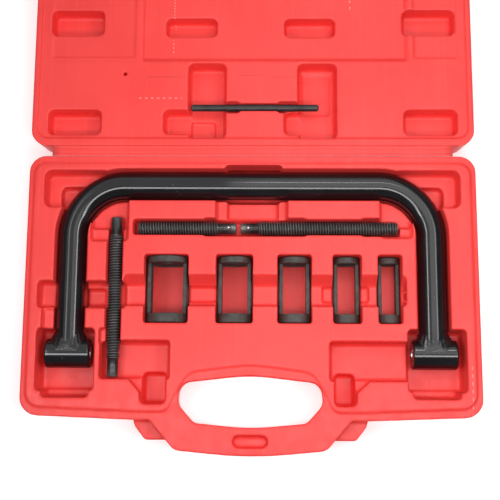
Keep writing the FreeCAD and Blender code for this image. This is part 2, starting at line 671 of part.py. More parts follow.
def spindle(label, length, spigots, placement, hole_at, ball_at=None):
    """Threaded spindle with its cross hole and, in a spigot, the pocket of a detent ball."""
    blank = turned(label, spindle_profile(length, spigots), placement)
    tools = []
    reach = THREAD_R + 2
    hole = doc.addObject("Part::Cylinder", label + "_hole")
    hole.setExpression("Radius", "Sizes.cross_hole / 2")
    hole.Height = 2 * reach
    hole.Placement = placement.multiply(Placement(Vector(hole_at, reach, 0), Rotation(X_AXIS, 90)))
    tools.append(hole)
    if ball_at is not None:
        seat = doc.addObject("Part::Cylinder", label + "_seat")
        seat.setExpression("Radius", "Sizes.detent_ball / 2 + 0.05")
        seat.Height = 8
        seat.Placement = placement.multiply(Placement(Vector(ball_at, 0, -size("detent_depth")), Rotation()))
        tools.append(seat)
    return cut(label, blank, tools)


def ball_and_spring(name, centre_x, centre_y):
    """Detent ball standing a little proud of its spigot, and the sleeve that its coil spring fills."""
    ball_r = size("detent_ball") / 2
    spigot_r = size("plain_end_diameter") / 2
    centre_z = SPINDLE_Z + spigot_r - 0.35 * ball_r
    ball = doc.addObject("Part::Sphere", name + "_detent_ball")
    ball.setExpression("Radius", "Sizes.detent_ball / 2")
    ball.Placement = Placement(Vector(centre_x, centre_y, centre_z), Rotation())
    bottom = SPINDLE_Z - size("detent_depth")
    wire = 0.32
    outer = ball_r - 0.1
    sleeve_height = centre_z - ball_r - bottom
    place = Placement(Vector(centre_x, centre_y, bottom), Rotation())
    rings = []
    for suffix, radius in (("_sleeve", outer), ("_core", outer - wire)):
        ring = doc.addObject("Part::Cylinder", name + suffix)
        ring.Radius = radius
        ring.Height = sleeve_height
        ring.Placement = place
        rings.append(ring)
    return [ball, cut(name + "_detent_spring", rings[0], rings[1:])]


short = size("short_spindle_length")
medium = size("medium_spindle_length")
along_x = Rotation()
up_y = Rotation(Z_AXIS, 90)
ball_inset = 5.4
hole_inset = 17.0
parts.append(spindle("short_spindle", short, (False, True),
                     Placement(Vector(SHORT_END - short, SPINDLE_Y, SPINDLE_Z), along_x),
                     6.5, short - ball_inset))
parts.append(spindle("medium_spindle", medium, (True, False),
                     Placement(Vector(MEDIUM_END, SPINDLE_Y, SPINDLE_Z), along_x),
                     medium - 6.5, ball_inset))
parts.append(spindle("long_spindle", size("long_spindle_length"), (True, True),
                     Placement(Vector(LONG_X, LONG_FRONT, SPINDLE_Z), up_y), hole_inset))
parts += ball_and_spring("short", SHORT_END - ball_inset, SPINDLE_Y)
parts += ball_and_spring("medium", MEDIUM_END + ball_inset, SPINDLE_Y)


# ---------------------------------------------------------------- spring cups

def spring_cup(label, centre):
    """Cup with a closed head at the back, an open seat ring at the front and two windows."""
    radius = size(label + "_diameter") / 2
    bore = radius - size("cup_wall")
    half = size("cup_length") / 2
    hole = min(size("cup_head_hole") / 2, bore - 1.5)
    body = new_body(label)
    sketch = new_sketch(body, label + "_profile", "XY_Plane")
    bevel = 0.5
    head = half - size("cup_head_ring")
    add_polygon(sketch, [(bore, -half), (radius - bevel, -half), (radius, -half + bevel),
                         (radius, half - bevel), (radius - bevel, half), (hole, half), (hole, head + 1.2),
                         (bore, head + 1.2)])
    turning = body.newObject("PartDesign::Revolution", label + "_turning")
    turning.Profile = sketch
    turning.ReferenceAxis = (plane(body, "Y_Axis"), [""])
    turning.Angle = 360
    doc.recompute()
    leg = 0.43 * radius
    window = new_sketch(body, label + "_windows", "YZ_Plane")
    front = -half + size("cup_seat_ring")
    for low, high in ((leg, radius + 2), (-radius - 2, -leg)):
        add_polygon(window, [(front, low), (head, low), (head, high), (front, high)])
    opening = body.newObject("PartDesign::Pocket", label + "_openings")
    opening.Profile = window
    opening.Type = 1
    opening.Midplane = True
    body.Placement = Placement(Vector(centre, CUP_Y, size("cup_axis_height")), Rotation())
    doc.recompute()
    return body


for label, (_, centre) in CUPS.items():
    parts.append(spring_cup(label, centre))

# ---------------------------------------------------------------- tommy bar

bar = new_body("tommy_bar")
bar_sketch = new_sketch(bar, "tommy_section", "YZ_Plane")
add_circle(bar_sketch, "Sizes.bar_diameter / 2")
bar_pad = bar.newObject("PartDesign::Pad", "tommy_pad")
bar_pad.Profile = bar_sketch
bar_pad.Midplane = True
bar_pad.setExpression("Length", "Sizes.bar_length")
doc.recompute()
bar_round = bar.newObject("PartDesign::Fillet", "tommy_round")
bar_round.Base = (bar_pad, ["Edge%d" % (i + 1) for i, edge in enumerate(bar_pad.Shape.Edges)
                            if edge.Closed and isinstance(edge.Curve, Part.Circle)])
bar_round.setExpression("Radius", "Sizes.bar_diameter / 2 - 1")
bar.Placement = Placement(Vector(BAR_X, BAR_Y, BAR_Z), Rotation())
parts.append(bar)

# ---------------------------------------------------------------- checks and export

doc.recompute()
for item in doc.Objects:
    if "Invalid" in item.State or "Error" in item.State:
        raise RuntimeError("%s failed: %s" % (item.Label, item.State))
for item in parts:
    if item.Shape.isNull() or not item.Shape.isValid() or not item.Shape.Solids:
        raise RuntimeError("%s has no valid solid" % item.Label)

os.makedirs("parts", exist_ok=True)
for item in parts:
    item.Shape.exportStep("parts/%s.step" % item.Label)
    box = item.Shape.BoundBox
    print("%-22s %d solid(s) %9.1f mm3  z %.2f..%.2f" % (item.Label, len(item.Shape.Solids),
                                                        item.Shape.Volume, box.ZMin, box.ZMax))
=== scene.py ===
"""Looks of a C-frame spring compressor kit that lies in its open blow-moulded case.

Everything is in metres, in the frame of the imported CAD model. The hinge line runs along X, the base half
lies towards -Y and the lid half towards +Y.
"""

import math

import bmesh
import bpy
import numpy as np
from mathutils import Euler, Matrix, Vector, noise


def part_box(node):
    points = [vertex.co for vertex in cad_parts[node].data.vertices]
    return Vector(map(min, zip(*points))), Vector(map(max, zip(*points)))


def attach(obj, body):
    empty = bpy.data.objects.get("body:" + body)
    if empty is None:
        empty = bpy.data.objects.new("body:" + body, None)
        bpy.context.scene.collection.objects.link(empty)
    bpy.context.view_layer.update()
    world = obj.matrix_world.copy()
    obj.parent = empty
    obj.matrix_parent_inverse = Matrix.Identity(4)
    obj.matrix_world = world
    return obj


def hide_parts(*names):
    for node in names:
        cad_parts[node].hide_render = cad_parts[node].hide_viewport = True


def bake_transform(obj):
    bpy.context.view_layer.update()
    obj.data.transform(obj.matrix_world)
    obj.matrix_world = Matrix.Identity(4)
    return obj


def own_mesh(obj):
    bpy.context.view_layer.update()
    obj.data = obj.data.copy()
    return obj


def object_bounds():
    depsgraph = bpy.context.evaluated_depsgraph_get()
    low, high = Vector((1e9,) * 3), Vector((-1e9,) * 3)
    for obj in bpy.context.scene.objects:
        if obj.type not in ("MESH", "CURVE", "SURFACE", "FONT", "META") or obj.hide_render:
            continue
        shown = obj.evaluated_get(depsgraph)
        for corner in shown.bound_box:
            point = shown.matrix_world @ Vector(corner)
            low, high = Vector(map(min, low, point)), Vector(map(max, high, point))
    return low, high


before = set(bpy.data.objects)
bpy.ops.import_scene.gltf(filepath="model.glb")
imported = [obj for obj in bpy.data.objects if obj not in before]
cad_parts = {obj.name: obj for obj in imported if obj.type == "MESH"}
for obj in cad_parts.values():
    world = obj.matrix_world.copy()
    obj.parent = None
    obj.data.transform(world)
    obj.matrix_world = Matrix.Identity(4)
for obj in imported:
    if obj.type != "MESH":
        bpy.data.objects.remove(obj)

MM = 0.001
TURN = 2 * math.pi
CAD_LOW, CAD_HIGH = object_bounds()

THREAD_PITCH = 1.88 * MM
THREAD_DEPTH = 0.85 * MM
SPIGOT_RADIUS = 3.8 * MM
SPIGOT_LENGTH = 12.6 * MM
BEND_RADIUS = 37 * MM
BORE_RADIUS = 4.25 * MM
BOSS_BEVEL = 1.5 * MM
WELD_REACH = 6.6 * MM
WELD_FLARE = 3.3 * MM
CROSS_HOLE_RADIUS = 2.75 * MM
CROSS_HOLE_INSET = 6.5 * MM
LONG_HOLE_INSET = 17.0 * MM
CROSS_DRILL_LENGTH = 16 * MM
BALL_SEAT_RADIUS = 1.25 * MM
CASE_VOXEL = 0.85 * MM
CASE_FACES = 185000
CUP_VOXEL = 0.36 * MM
CUP_FACES = 60000
SOFTBOX_HEIGHT = 0.42
CUPS = ("adaptor_30", "adaptor_25", "adaptor_23", "adaptor_19", "adaptor_16")


# ---------------------------------------------------------------- materials

class Shader:
    """A Principled material that is put together node by node, in object coordinates."""

    def __init__(self, name, roughness, metallic=0.0, coat=0.0, level=0.5):
        self.material = bpy.data.materials.new(name)
        self.material.use_nodes = True
        self.nodes = self.material.node_tree.nodes
        self.links = self.material.node_tree.links
        self.nodes.clear()
        output = self.nodes.new("ShaderNodeOutputMaterial")
        self.surface = self.nodes.new("ShaderNodeBsdfPrincipled")
        self.surface.inputs["Roughness"].default_value = roughness
        self.surface.inputs["Metallic"].default_value = metallic
        self.surface.inputs["Coat Weight"].default_value = coat
        self.surface.inputs["Coat Roughness"].default_value = 0.08
        self.surface.inputs["Specular IOR Level"].default_value = level
        self.links.new(self.surface.outputs[0], output.inputs[0])
        self.place = self.nodes.new("ShaderNodeTexCoord").outputs["Object"]

    def stretched(self, scale):
        """Object coordinates times a vector."""
        node = self.nodes.new("ShaderNodeVectorMath")
        node.operation = "MULTIPLY"
        node.inputs[1].default_value = scale
        self.links.new(self.place, node.inputs[0])
        return node.outputs[0]

    def noise(self, scale, detail=2.0, stretch=(1, 1, 1)):
        """Noise from 0 to 1 with `scale` features to the metre."""
        node = self.nodes.new("ShaderNodeTexNoise")
        node.inputs["Scale"].default_value = scale
        node.inputs["Detail"].default_value = detail
        self.links.new(self.stretched(stretch), node.inputs["Vector"])
        return node.outputs["Fac"]

    def ramp(self, value, low, high, dark=0.0, light=1.0):
        """Value between low and high, spread to dark .. light."""
        node = self.nodes.new("ShaderNodeMapRange")
        node.interpolation_type = "SMOOTHSTEP"
        for socket, number in zip(("From Min", "From Max", "To Min", "To Max"), (low, high, dark, light)):
            node.inputs[socket].default_value = number
        self.links.new(value, node.inputs["Value"])
        return node.outputs["Result"]

    def math(self, operation, first, second):
        """Math node on sockets or numbers."""
        node = self.nodes.new("ShaderNodeMath")
        node.operation = operation
        for socket, value in zip(node.inputs, (first, second)):
            if isinstance(value, (int, float)):
                socket.default_value = value
            else:
                self.links.new(value, socket)
        return node.outputs[0]

    def mix(self, factor, first, second):
        """Colour between two colours, each a tuple or a socket."""
        node = self.nodes.new("ShaderNodeMix")
        node.data_type = "RGBA"
        self.links.new(factor, node.inputs["Factor"])
        for socket, value in ((node.inputs[6], first), (node.inputs[7], second)):
            if isinstance(value, tuple):
                socket.default_value = (*value, 1)
            else:
                self.links.new(value, socket)
        return node.outputs[2]

    def edges(self, low, high):
        """1 on convex edges of the mesh."""
        pointiness = self.nodes.new("ShaderNodeNewGeometry").outputs["Pointiness"]
        return self.ramp(pointiness, low, high)

    def bump(self, *layers):
        """Bump from (height socket, depth in metres) layers, one on top of the other."""
        normal = None
        for height, depth in layers:
            node = self.nodes.new("ShaderNodeBump")
            node.inputs["Strength"].default_value = 1.0
            node.inputs["Distance"].default_value = depth
            self.links.new(height, node.inputs["Height"])
            if normal is not None:
                self.links.new(normal, node.inputs["Normal"])
            normal = node.outputs["Normal"]
        self.links.new(normal, self.surface.inputs["Normal"])

    def paint(self, color=None, roughness=None):
        """Links the finished colour and roughness to the surface."""
        if color is not None:
            self.links.new(color, self.surface.inputs["Base Color"])
        if roughness is not None:
            self.links.new(roughness, self.surface.inputs["Roughness"])
        return self.material


def scuff_line(shader, axis, along, across, dash):
    """Mask of a broken scuff line: along = (from, to) on that axis, across = its place on the other one."""
    split = shader.nodes.new("ShaderNodeSeparateXYZ")
    shader.links.new(shader.place, split.inputs[0])
    run, side = (split.outputs[0], split.outputs[1]) if axis == "X" else (split.outputs[1], split.outputs[0])
    off = shader.math("ABSOLUTE", shader.math("SUBTRACT", side, across), 0.0)
    near = shader.ramp(off, 0.25 * MM, 0.6 * MM, 1.0, 0.0)
    middle = (along[0] + along[1]) / 2
    half = (along[1] - along[0]) / 2
    reach = shader.math("ABSOLUTE", shader.math("SUBTRACT", run, middle), 0.0)
    inside = shader.ramp(reach, half * 0.8, half, 1.0, 0.0)
    wave = shader.math("SINE", shader.math("MULTIPLY", run, TURN / dash), 0.0)
    dots = shader.ramp(wave, 0.0, 0.6)
    return shader.math("MULTIPLY", shader.math("MULTIPLY", near, inside), dots)


def red_plastic(name, dark_scuffs=(), pale_scuffs=()):
    """Satin red polyethylene: clouded colour, draw lines along Y, fine grain, specks, pale edges (wear and
    painted highlight).
    """
    shader = Shader(name, roughness=0.42, level=0.42)
    cloud = shader.ramp(shader.noise(26, 3), 0.3, 0.7)
    streak = shader.noise(430, 3, (1, 0.03, 0.4))
    fine_streak = shader.noise(1300, 2, (1, 0.02, 0.3))
    grain = shader.noise(2300, 3)
    color = shader.mix(cloud, (0.80, 0.040, 0.036), (0.84, 0.048, 0.043))
    color = shader.mix(shader.ramp(streak, 0.5, 0.8, 0.0, 0.5), color, (0.87, 0.066, 0.058))
    color = shader.mix(shader.ramp(fine_streak, 0.55, 0.8, 0.0, 0.35), color, (0.74, 0.030, 0.026))
    # Lighter colour on convex edges and lips: partly pale wear, partly a painted highlight.
    color = shader.mix(shader.math("MULTIPLY", shader.edges(0.52, 0.6), 0.5), color, (0.93, 0.15, 0.13))
    speck = shader.math("MULTIPLY", shader.ramp(shader.noise(900, 1), 0.76, 0.8),
                        shader.ramp(shader.noise(45, 1), 0.5, 0.6))
    color = shader.mix(shader.math("MULTIPLY", speck, 0.7), color, (0.16, 0.07, 0.06))
    dust = shader.math("MULTIPLY", shader.ramp(shader.noise(1100, 0), 0.83, 0.87),
                       shader.ramp(shader.noise(60, 1, (1, 1.3, 1)), 0.54, 0.62))
    color = shader.mix(shader.math("MULTIPLY", dust, 0.35), color, (0.9, 0.4, 0.36))
    for axis, along, across, dash in dark_scuffs:
        color = shader.mix(shader.math("MULTIPLY", scuff_line(shader, axis, along, across, dash), 0.7),
                           color, (0.35, 0.012, 0.012))
    for axis, along, across, dash in pale_scuffs:
        color = shader.mix(shader.math("MULTIPLY", scuff_line(shader, axis, along, across, dash), 0.5),
                           color, (0.95, 0.4, 0.36))
    gloss = shader.ramp(shader.noise(140, 4), 0.3, 0.7, 0.36, 0.5)
    shader.bump((streak, 0.05 * MM), (grain, 0.035 * MM))
    return shader.paint(color, gloss)


def black_paint():
    """Gloss black enamel with a little orange peel, dust nibs and dull patches."""
    shader = Shader("black_paint", roughness=0.16, coat=0.25, level=0.5)
    peel = shader.noise(330, 2)
    ripple = shader.noise(70, 2)
    patches = shader.ramp(shader.noise(40, 3), 0.3, 0.7)
    color = shader.mix(patches, (0.004, 0.004, 0.005), (0.007, 0.007, 0.0085))
    nib = shader.math("MULTIPLY", shader.ramp(shader.noise(900, 0), 0.84, 0.88),
                      shader.ramp(shader.noise(30, 1), 0.5, 0.6))
    color = shader.mix(shader.math("MULTIPLY", nib, 0.5), color, (0.3, 0.29, 0.28))
    gloss = shader.ramp(shader.noise(55, 4), 0.3, 0.75, 0.09, 0.18)
    shader.bump((ripple, 0.05 * MM), (peel, 0.012 * MM))
    return shader.paint(color, gloss)


def weld_paint():
    """Black enamel over a weld bead: rougher, with spatter, and pale crests that are partly chips and partly
    a painted glint.
    """
    shader = Shader("weld_paint", roughness=0.3, coat=0.2)
    # Pale convex crests: partly paint chips, partly a painted glint of light.
    crest_chip_and_glint = shader.math("MULTIPLY", shader.edges(0.53, 0.6), shader.ramp(shader.noise(420, 2), 0.5, 0.62))
    color = shader.mix(crest_chip_and_glint, (0.006, 0.006, 0.007), (0.42, 0.42, 0.44))
    gloss = shader.ramp(shader.noise(300, 3), 0.3, 0.7, 0.16, 0.4)
    shader.bump((shader.noise(380, 3), 0.5 * MM))
    return shader.paint(color, gloss)


def black_oxide(name, tool_marks):
    """Oiled black oxide on steel; tool_marks stretches the fine turning lines."""
    shader = Shader(name, roughness=0.34, metallic=0.3, level=0.5)
    handled = shader.ramp(shader.noise(120, 3), 0.3, 0.7, 0.5, 1.0)
    # Pale convex edges and thread crests: partly wear, partly a painted glint of light.
    wear_and_glint = shader.math("MULTIPLY", shader.edges(0.5, 0.6), handled)
    patches = shader.ramp(shader.noise(150, 3), 0.3, 0.7)
    color = shader.mix(patches, (0.012, 0.0115, 0.0115), (0.028, 0.027, 0.0265))
    color = shader.mix(wear_and_glint, color, (0.2, 0.195, 0.19))
    gloss = shader.ramp(shader.noise(260, 3), 0.3, 0.7, 0.26, 0.46)
    shader.bump((shader.noise(2400, 1, tool_marks), 0.012 * MM), (shader.noise(1800, 2), 0.008 * MM))
    return shader.paint(color, gloss)


def phosphate():
    """Matt manganese phosphate with turning lines round the Y axis and rubbed edges."""
    shader = Shader("phosphate", roughness=0.55, level=0.35)
    blotch = shader.ramp(shader.noise(190, 4), 0.3, 0.7)
    color = shader.mix(blotch, (0.036, 0.031, 0.028), (0.062, 0.054, 0.049))
    handled = shader.ramp(shader.noise(350, 3), 0.35, 0.7, 0.15, 0.6)
    rub = shader.math("MULTIPLY", shader.edges(0.52, 0.62), handled)
    color = shader.mix(rub, color, (0.15, 0.14, 0.128))
    gloss = shader.ramp(shader.noise(420, 3), 0.3, 0.7, 0.46, 0.66)
    shader.bump((shader.noise(2600, 1, (0.03, 1, 0.03)), 0.02 * MM), (shader.noise(3400, 2), 0.018 * MM))
    return shader.paint(color, gloss)


def bright_steel():
    """Bare machined steel with fine scratches."""
    shader = Shader("bright_steel", roughness=0.2, metallic=1.0)
    color = shader.mix(shader.noise(600, 3), (0.52, 0.51, 0.5), (0.78, 0.77, 0.76))
    gloss = shader.ramp(shader.noise(1500, 3), 0.3, 0.7, 0.14, 0.32)
    shader.bump((shader.noise(3000, 1, (1, 0.1, 0.1)), 0.006 * MM))
    return shader.paint(color, gloss)


def studio_floor():
    """Pale seamless paper, lit from below as on a light table."""
    shader = Shader("pale_floor", roughness=0.9, level=0.1)
    shader.surface.inputs["Emission Color"].default_value = (1, 1, 1, 1)
    shader.surface.inputs["Emission Strength"].default_value = 0.4
    color = shader.mix(shader.noise(9, 3), (0.9, 0.9, 0.9), (0.93, 0.93, 0.93))
    shader.bump((shader.noise(1200, 3), 0.05 * MM))
    return shader.paint(color)


# Each scuff is its axis, its two ends on that axis, its place on the other axis, and its dash length.
LID_DARK_SCUFFS = (("X", (-0.078, -0.047), 0.0554, 1.7 * MM),
                   ("X", (0.010, 0.046), 0.0554, 1.7 * MM),
                   ("X", (-0.012, 0.009), 0.0566, 1.9 * MM))
LID_PALE_SCUFFS = (("Y", (0.072, 0.085), -0.0575, 3.1 * MM),
                   ("Y", (0.094, 0.118), -0.0572, 2.3 * MM),
                   ("X", (-0.085, -0.049), 0.0395, 4.3 * MM),
                   ("Y", (0.105, 0.135), 0.071, 4.9 * MM))
BASE_PALE_SCUFFS = (("Y", (-0.185, -0.150), 0.1508, 5.3 * MM),)
MATERIALS = {
    "base_red": red_plastic("base_red", pale_scuffs=BASE_PALE_SCUFFS),
    "lid_red": red_plastic("lid_red", LID_DARK_SCUFFS, LID_PALE_SCUFFS),
    "black_paint": black_paint(),
    "weld_paint": weld_paint(),
    "oxide_x": black_oxide("oxide_x", (1, 0.03, 0.03)),
    "oxide_y": black_oxide("oxide_y", (0.03, 1, 0.03)),
    "phosphate": phosphate(),
    "bright_steel": bright_steel(),
    "pale_floor": studio_floor(),
}


# ---------------------------------------------------------------- mesh helpers

def new_piece(name, points, faces, materials, indices=None):
    """Smooth-shaded mesh object from points and faces."""
    mesh = bpy.data.meshes.new(name)
    mesh.from_pydata([tuple(p) for p in points], [], faces)
    for material in materials:
        mesh.materials.append(MATERIALS[material])
    mesh.polygons.foreach_set("use_smooth", [True] * len(mesh.polygons))
    if indices is not None:
        mesh.polygons.foreach_set("material_index", indices)
    mesh.update()
    piece = bpy.data.objects.new(name, mesh)
    bpy.context.scene.collection.objects.link(piece)
    return piece


def ring_faces(rings, around, closed):
    """Quads between rings of `around` points each; closed joins the last ring to the first."""
    faces = []
    for ring in range(rings if closed else rings - 1):
        here = ring * around
        there = ((ring + 1) % rings) * around
        for k in range(around):
            nxt = (k + 1) % around
            faces.append((here + k, here + nxt, there + nxt, there + k))
    return faces


def capped(rings, points):
    """Faces of a tube of rings with a fan over both ends; adds the two centre points."""
    around = len(points) // rings
    faces = ring_faces(rings, around, False)
    first = np.mean(points[:around], axis=0)
    last = np.mean(points[-around:], axis=0)
    points = np.vstack([points, first, last])
    start = len(points) - 2
    for k in range(around):
        nxt = (k + 1) % around
        faces.append((start, nxt, k))
        faces.append((start + 1, (rings - 1) * around + k, (rings - 1) * around + nxt))
    return points, faces


def bake_modifiers(piece):
    """Replaces a piece's mesh with what its modifiers make of it."""
    graph = bpy.context.evaluated_depsgraph_get()
    graph.update()
    made = bpy.data.meshes.new_from_object(piece.evaluated_get(graph))
    piece.modifiers.clear()
    piece.data = made


def face_out(piece):
    """Turns every face of a closed mesh outwards."""
    shape = bmesh.new()
    shape.from_mesh(piece.data)
    bmesh.ops.recalc_face_normals(shape, faces=shape.faces)
    shape.to_mesh(piece.data)
    shape.free()


def softened(node, material, voxel, passes, most_faces):
    """Closed copy of a CAD node, its edges rounded over a voxel or two, with at most so many faces."""
    piece = bpy.data.objects.new(node + "_skin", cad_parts[node].data.copy())
    bpy.context.scene.collection.objects.link(piece)
    piece.data.materials.clear()
    piece.data.materials.append(MATERIALS[material])
    welding = piece.modifiers.new("weld", "WELD")
    welding.merge_threshold = 0.002 * MM
    remesh = piece.modifiers.new("remesh", "REMESH")
    remesh.mode = "VOXEL"
    remesh.voxel_size = voxel
    smooth = piece.modifiers.new("smooth", "SMOOTH")
    smooth.factor = 0.5
    smooth.iterations = passes
    bake_modifiers(piece)
    triangles = 2 * len(piece.data.polygons)
    if triangles > most_faces:
        thin = piece.modifiers.new("thin", "DECIMATE")
        thin.ratio = most_faces / triangles
        bake_modifiers(piece)
    piece.data.polygons.foreach_set("use_smooth", [True] * len(piece.data.polygons))
    even = piece.modifiers.new("even", "WEIGHTED_NORMAL")
    even.mode = "FACE_AREA"
    even.weight = 70
    bake_modifiers(piece)
    return piece


def join(target, *others):
    """Adds other pieces' meshes to the target piece."""
    with bpy.context.temp_override(active_object=target, selected_editable_objects=[target, *others],
                                   selected_objects=[target, *others]):
        bpy.ops.object.join()


def dressed(piece, body, slot, *nodes):
    """Rides a finished piece on its body, in place of the CAD nodes it stands for."""
    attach(piece, body)
    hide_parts(*nodes)


def centre(node):
    """Middle of a CAD node's box."""
    low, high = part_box(node)
    return (low + high) / 2


# ---------------------------------------------------------------- case

def witness_ring(name, material, x, y, z, radius):
    """Raised hair-line circle that a mould insert leaves; most of its section is below the surface."""
    wire = 0.32 * MM
    proud = 0.1 * MM
    around = 72
    section = 8
    points = []
    for k in range(around):
        a = TURN * k / around
        for j in range(section):
            b = TURN * j / section
            reach = radius + wire * math.cos(b)
            height = z - wire + proud + wire * math.sin(b)
            points.append((x + reach * math.cos(a), y + reach * math.sin(a), height))
    return new_piece(name, points, ring_faces(around, section, True), [material])


def surface_height(piece, x, y):
    """Height of a piece's upper surface over a point."""
    high = CAD_HIGH.z + 0.01
    found, spot, _, _ = piece.ray_cast(Vector((x, y, high)), Vector((0, 0, -1)))
    return spot.z if found else 0.0


def case_half(node, body, material, rings):
    """One blow-moulded half with soft lips and its witness rings."""
    piece = softened(node, material, CASE_VOXEL, 3, CASE_FACES)
    circles = []
    for index, (x, y, radius) in enumerate(rings):
        height = surface_height(piece, x * MM, y * MM)
        name = "%s_ring_%d" % (node, index)
        circles.append(witness_ring(name, material, x * MM, y * MM, height, radius * MM))
    join(piece, *circles)
    dressed(piece, body, "red_plastic", node)


# Each witness ring is its X, its Y and its radius, in millimetres.
BASE_RINGS = ((-126.0, -163.5, 4.6), (129.5, -163.5, 4.6), (-130.0, -30.5, 4.2), (131.0, -30.5, 4.2),
              (-53.0, -42.6, 3.0), (-72.0, -64.6, 2.4), (60.0, -66.0, 3.0), (107.5, -104.0, 3.4))
LID_RINGS = ((-136.0, 22.0, 4.0), (136.0, 22.0, 4.0))


def hinge_web():
    """Moulded web between the halves: a thin strip with two crease lines."""
    low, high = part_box("hinge_web_base")
    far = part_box("hinge_web_lid")[1].y
    steps = 28
    columns = 40
    crease_offset = 1.7 * MM
    crease_width = 0.7 * MM
    crease_depth = 0.22 * MM
    top = []
    bottom = []
    for i in range(columns + 1):
        x = low.x + (high.x - low.x) * i / columns
        for j in range(steps + 1):
            y = low.y + (far - low.y) * j / steps
            dip = crease_depth * max(0.0, 1.0 - abs(abs(y) - crease_offset) / crease_width)
            top.append((x, y, high.z - dip))
            bottom.append((x, y, low.z + dip))
    width = steps + 1
    count = len(top)
    faces = []
    for i in range(columns):
        for j in range(steps):
            a = i * width + j
            faces.append((a, a + width, a + width + 1, a + 1))
            faces.append((count + a, count + a + 1, count + a + width + 1, count + a + width))
    rim = [i * width for i in range(columns + 1)] + [columns * width + j for j in range(1, width)]
    rim += [i * width + steps for i in range(columns - 1, -1, -1)] + [j for j in range(steps - 1, 0, -1)]
    for a, b in zip(rim, rim[1:] + rim[:1]):
        faces.append((a, count + a, count + b, b))
    web = new_piece("hinge_web", top + bottom, faces, ["base_red"])
    face_out(web)
    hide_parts("hinge_web_base", "hinge_web_lid")
    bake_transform(web)


# ---------------------------------------------------------------- C frame

TUBE_LOW, TUBE_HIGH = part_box("frame_tube")
TUBE_RADIUS = (TUBE_HIGH.z - TUBE_LOW.z) / 2
TUBE_Z = (TUBE_HIGH.z + TUBE_LOW.z) / 2
LEG_X = TUBE_HIGH.x - TUBE_RADIUS
BAR_Y = TUBE_HIGH.y - TUBE_RADIUS
BOSS_LOW, BOSS_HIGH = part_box("right_boss")
BOSS_RADIUS = (BOSS_HIGH.z - BOSS_LOW.z) / 2
BOSS_Y = (BOSS_HIGH.y + BOSS_LOW.y) / 2


def frame_path():
    """(point, tangent) along the bent tube from the left boss to the right one, in the XY plane."""
    stations = []
    leg_steps = 44
    arc_steps = 40
    bar_steps = 70
    start = BOSS_Y + 0.45 * BOSS_RADIUS
    bend_y = BAR_Y - BEND_RADIUS
    for i in range(leg_steps):
        stations.append(((-LEG_X, start + (bend_y - start) * i / leg_steps), (0, 1)))
    for i in range(arc_steps):
        a = math.pi / 2 * i / arc_steps
        stations.append(((-LEG_X + BEND_RADIUS * (1 - math.cos(a)), bend_y + BEND_RADIUS * math.sin(a)),
                         (math.sin(a), math.cos(a))))
    for i in range(bar_steps):
        share = i / bar_steps
        stations.append(((-LEG_X + BEND_RADIUS + 2 * (LEG_X - BEND_RADIUS) * share, BAR_Y), (1, 0)))
    mirror = [((-p[0], p[1]), (t[0], -t[1])) for p, t in reversed(stations[:leg_steps + arc_steps])]
    stations.append(((LEG_X - BEND_RADIUS, BAR_Y), (1, 0)))
    return stations + mirror


def frame_tube():
    """Bent tube, a touch flattened across its bends."""
    around = 72
    flattening = 0.012
    points = []
    path = frame_path()
    for (x, y), (tx, ty) in path:
        squeeze = 1 - flattening * (2 * abs(tx * ty))
        for k in range(around):
            a = TURN * k / around
            side = TUBE_RADIUS * squeeze * math.cos(a)
            points.append((x - ty * side, y + tx * side, TUBE_Z + TUBE_RADIUS * math.sin(a)))
    points, faces = capped(len(path), np.array(points))
    piece = new_piece("frame_tube_painted", points, faces, ["black_paint"])
    face_out(piece)
    dressed(piece, "c_frame", "black_paint", "frame_tube")


def boss_radius_at(share):
    """Outer radius of a boss from its middle (0) to its end (1), with a rounded shoulder."""
    length = (BOSS_HIGH.x - BOSS_LOW.x) / 2
    inside = (length - BOSS_BEVEL) / length
    if share <= inside:
        return BOSS_RADIUS
    t = (share - inside) / (1 - inside)
    return BOSS_RADIUS - BOSS_BEVEL * (1 - math.sqrt(max(0.0, 1 - t * t)))


def thread_dip(along, turn, depth):
    """How far a thread lies below its crest at a place along its axis and round it."""
    phase = (along / THREAD_PITCH - turn) % 1.0
    u = abs(phase - 0.5) * 2
    return depth * min(1.0, max(0.0, (u - 0.16) / 0.66))


